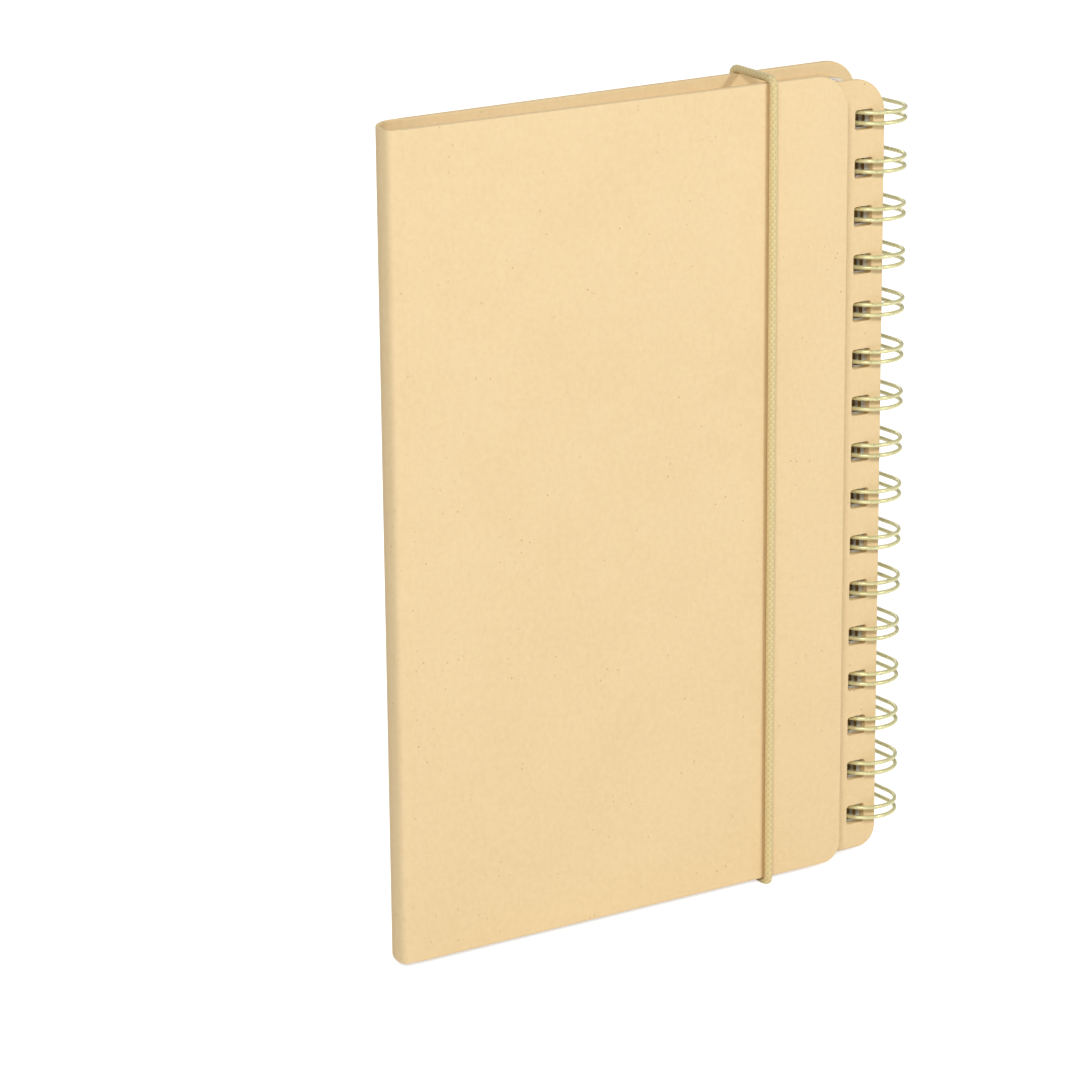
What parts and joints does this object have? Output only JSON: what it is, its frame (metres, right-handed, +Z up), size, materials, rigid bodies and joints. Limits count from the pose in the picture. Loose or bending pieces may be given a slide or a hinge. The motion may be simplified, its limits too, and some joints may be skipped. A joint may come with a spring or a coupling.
{
  "type": "spiral notebook",
  "caption": "Closed twin-loop notebook with kraft board covers that wrap round a spine, a half-width inner flap, an elastic closure, sticky pads and page flags.",
  "frame": {"origin": "middle of the lowest face of the box round the closed, standing notebook", "axes": "+X from the spine to the wire loops, +Y from the front cover to the back cover, +Z up along the spine"},
  "size_m": [0.1608, 0.0278, 0.2183],
  "materials": {
    "kraft_board": "matt kraft paper wrapped round board",
    "kraft_liner": "matt kraft paper",
    "kraft_spine": "matt kraft paper",
    "pages": "uncoated cream paper",
    "frosted_sheet": "frosted translucent",
    "wire": "satin pale gold coating",
    "elastic": "braided beige elastic",
    "pad_yellow": "uncoated paper pad",
    "pad_green": "uncoated paper pad",
    "flag_blue": "coloured paper flags",
    "flag_green": "coloured paper flags",
    "flag_yellow": "coloured paper flags",
    "flag_pink": "coloured paper flags",
    "flag_orange": "coloured paper flags"
  },
  "bodies": {
    "back_cover": {"back_cover": "kraft_board", "back_cover_liner": "kraft_liner", "page_block": "pages", "frosted_divider": "frosted_sheet", "inner_flap": "kraft_board", "inner_flap_liner": "kraft_liner", "binding_wire": "wire", "elastic_band": "elastic"},
    "spine": {"spine_strip": "kraft_spine"},
    "front_cover": {"front_cover": "kraft_board", "front_cover_liner": "kraft_liner", "sticky_pad_yellow": "pad_yellow", "sticky_pad_green": "pad_green", "page_flag_blue": "flag_blue", "page_flag_green": "flag_green", "page_flag_yellow": "flag_yellow", "page_flag_pink": "flag_pink", "page_flag_orange": "flag_orange"}
  },
  "joints": [
    {"name": "spine_hinge", "type": "hinge", "parent": "back_cover", "child": "spine", "pos_m": [-0.0727, 0.00596, 0.1084], "axis": [0, 0, -1], "range_deg": [0, 63]},
    {"name": "front_cover_hinge", "type": "hinge", "parent": "spine", "child": "front_cover", "pos_m": [-0.07977, -0.00608, 0.1084], "axis": [0, 0, -1], "range_deg": [0, 115], "deforming": ["elastic_band"]}
  ],
  "couplings": [
    {"joint": "spine_hinge", "follows": "front_cover_hinge", "ratio": 0.5478}
  ]
}
